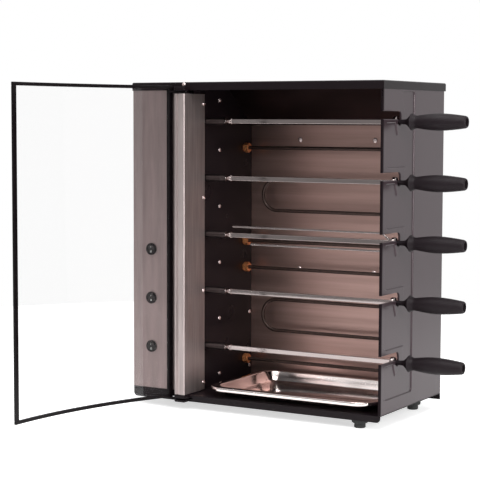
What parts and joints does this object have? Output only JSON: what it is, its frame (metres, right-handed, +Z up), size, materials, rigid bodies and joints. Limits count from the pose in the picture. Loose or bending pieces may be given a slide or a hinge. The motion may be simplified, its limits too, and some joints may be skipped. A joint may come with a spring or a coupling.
{
  "type": "electric skewer grill",
  "caption": "Upright electric kebab grill with horizontal motor-driven skewers in front of heating elements, a bowed glass door, a drip tray and a switch column",
  "frame": {"origin": "on the plane of the feet's treads, midway across the cabinet's width and depth", "axes": "+Z up, -Y to the open front, +X to the side of the skewer handles"},
  "size_m": [0.7275, 0.7133, 0.689],
  "materials": {
    "black_enamel": "satin black enamel",
    "panel_grey": "satin grey coating",
    "brushed_stainless": "brushed, semi bright",
    "reflector_steel": "polished sheet",
    "chrome": "bright",
    "element_steel": "heat-dulled tube",
    "brass": "machined",
    "bronze": "sintered, oiled",
    "tray_steel": "bright rolled sheet",
    "handle_black": "heat-proof moulding, matt",
    "rubber": "matt",
    "door_glass": "clear tempered glass",
    "door_black": "semi-gloss black",
    "switch_black": "moulded",
    "gear_steel": "stamped and cut steel",
    "motor_steel": "zinc-plated can"
  },
  "bodies": {
    "cabinet": {"base_pan": "black_enamel", "right_side_panel": "panel_grey", "left_side_panel": "panel_grey", "column_front": "brushed_stainless", "chamber_side_wall": "black_enamel", "corner_post": "brushed_stainless", "back_reflector": "reflector_steel", "rear_cover": "black_enamel", "hood_deflector": "reflector_steel", "top_cover": "black_enamel", "feet": "rubber", "upper_hinge_block": "black_enamel", "lower_hinge_block": "black_enamel", "upper_heating_element": "element_steel", "lower_heating_element": "element_steel", "element_nuts": "brass", "element_clips": "chrome", "spindle_bushes": "bronze", "gear_plate": "gear_steel", "idler_axles": "gear_steel", "gear_motor": "motor_steel", "switch_bodies": "switch_black", "power_inlet": "switch_black", "chamber_screws": "chrome"},
    "door": {"door_glass": "door_glass", "door_top_rail": "door_black", "door_bottom_rail": "door_black", "door_free_stile": "door_black", "door_hinge_stile": "door_black", "door_hinge_arms": "door_black"},
    "tray": {"drip_tray": "tray_steel"},
    "spit_1": {"drive_socket_1": "chrome", "spit_gear_1": "gear_steel", "skewer_1": "chrome", "handle_1": "handle_black"},
    "spit_2": {"drive_socket_2": "chrome", "spit_gear_2": "gear_steel", "skewer_2": "chrome", "handle_2": "handle_black"},
    "spit_3": {"drive_socket_3": "chrome", "spit_gear_3": "gear_steel", "skewer_3": "chrome", "handle_3": "handle_black", "twin_prong_fork": "chrome"},
    "spit_4": {"drive_socket_4": "chrome", "spit_gear_4": "gear_steel", "skewer_4": "chrome", "handle_4": "handle_black"},
    "spit_5": {"drive_socket_5": "chrome", "spit_gear_5": "gear_steel", "skewer_5": "chrome", "handle_5": "handle_black"},
    "idler_1": {"idler_gear_1": "gear_steel"},
    "idler_2": {"idler_gear_2": "gear_steel"},
    "idler_3": {"idler_gear_3": "gear_steel"},
    "idler_4": {"idler_gear_4": "gear_steel"},
    "pinion": {"motor_pinion": "gear_steel"},
    "rocker_1": {"switch_rocker_1": "switch_black"},
    "rocker_2": {"switch_rocker_2": "switch_black"},
    "rocker_3": {"switch_rocker_3": "switch_black"}
  },
  "joints": [
    {"name": "door_swing", "type": "hinge", "parent": "cabinet", "child": "door", "pos_m": [-0.162, -0.146, 0.35], "axis": [0, 0, -1], "range_deg": [-105.9, 0]},
    {"name": "tray_slide", "type": "slide", "parent": "cabinet", "child": "tray", "axis": [0, -1, 0], "range_m": [0, 0.22]},
    {"name": "spit_1_turn", "type": "hinge", "parent": "cabinet", "child": "spit_1", "pos_m": [0, -0.0732, 0.128], "axis": [1, 0, 0], "continuous": true},
    {"name": "spit_2_turn", "type": "hinge", "parent": "cabinet", "child": "spit_2", "pos_m": [0, -0.0732, 0.248], "axis": [1, 0, 0], "continuous": true},
    {"name": "spit_3_turn", "type": "hinge", "parent": "cabinet", "child": "spit_3", "pos_m": [0, -0.0732, 0.368], "axis": [1, 0, 0], "continuous": true},
    {"name": "spit_4_turn", "type": "hinge", "parent": "cabinet", "child": "spit_4", "pos_m": [0, -0.0732, 0.488], "axis": [1, 0, 0], "continuous": true},
    {"name": "spit_5_turn", "type": "hinge", "parent": "cabinet", "child": "spit_5", "pos_m": [0, -0.0732, 0.608], "axis": [1, 0, 0], "continuous": true},
    {"name": "idler_1_turn", "type": "hinge", "parent": "cabinet", "child": "idler_1", "pos_m": [-0.1938, -0.0732, 0.188], "axis": [1, 0, 0], "continuous": true},
    {"name": "idler_2_turn", "type": "hinge", "parent": "cabinet", "child": "idler_2", "pos_m": [-0.1938, -0.0732, 0.308], "axis": [1, 0, 0], "continuous": true},
    {"name": "idler_3_turn", "type": "hinge", "parent": "cabinet", "child": "idler_3", "pos_m": [-0.1938, -0.0732, 0.428], "axis": [1, 0, 0], "continuous": true},
    {"name": "idler_4_turn", "type": "hinge", "parent": "cabinet", "child": "idler_4", "pos_m": [-0.1938, -0.0732, 0.548], "axis": [1, 0, 0], "continuous": true},
    {"name": "pinion_turn", "type": "hinge", "parent": "cabinet", "child": "pinion", "pos_m": [-0.1938, -0.02445, 0.368], "axis": [1, 0, 0], "continuous": true},
    {"name": "rocker_1_tilt", "type": "hinge", "parent": "cabinet", "child": "rocker_1", "pos_m": [-0.246, -0.1512, 0.337], "axis": [-1, 0, 0], "range_deg": [0, 14]},
    {"name": "rocker_2_tilt", "type": "hinge", "parent": "cabinet", "child": "rocker_2", "pos_m": [-0.246, -0.1512, 0.233], "axis": [-1, 0, 0], "range_deg": [0, 14]},
    {"name": "rocker_3_tilt", "type": "hinge", "parent": "cabinet", "child": "rocker_3", "pos_m": [-0.246, -0.1512, 0.129], "axis": [-1, 0, 0], "range_deg": [0, 14]}
  ],
  "couplings": [
    {"joint": "spit_1_turn", "follows": "spit_3_turn", "ratio": 1},
    {"joint": "spit_2_turn", "follows": "spit_3_turn", "ratio": 1},
    {"joint": "spit_4_turn", "follows": "spit_3_turn", "ratio": 1},
    {"joint": "spit_5_turn", "follows": "spit_3_turn", "ratio": 1},
    {"joint": "idler_1_turn", "follows": "spit_3_turn", "ratio": -1},
    {"joint": "idler_2_turn", "follows": "spit_3_turn", "ratio": -1},
    {"joint": "idler_3_turn", "follows": "spit_3_turn", "ratio": -1},
    {"joint": "idler_4_turn", "follows": "spit_3_turn", "ratio": -1},
    {"joint": "pinion_turn", "follows": "spit_3_turn", "ratio": -1.6}
  ]
}
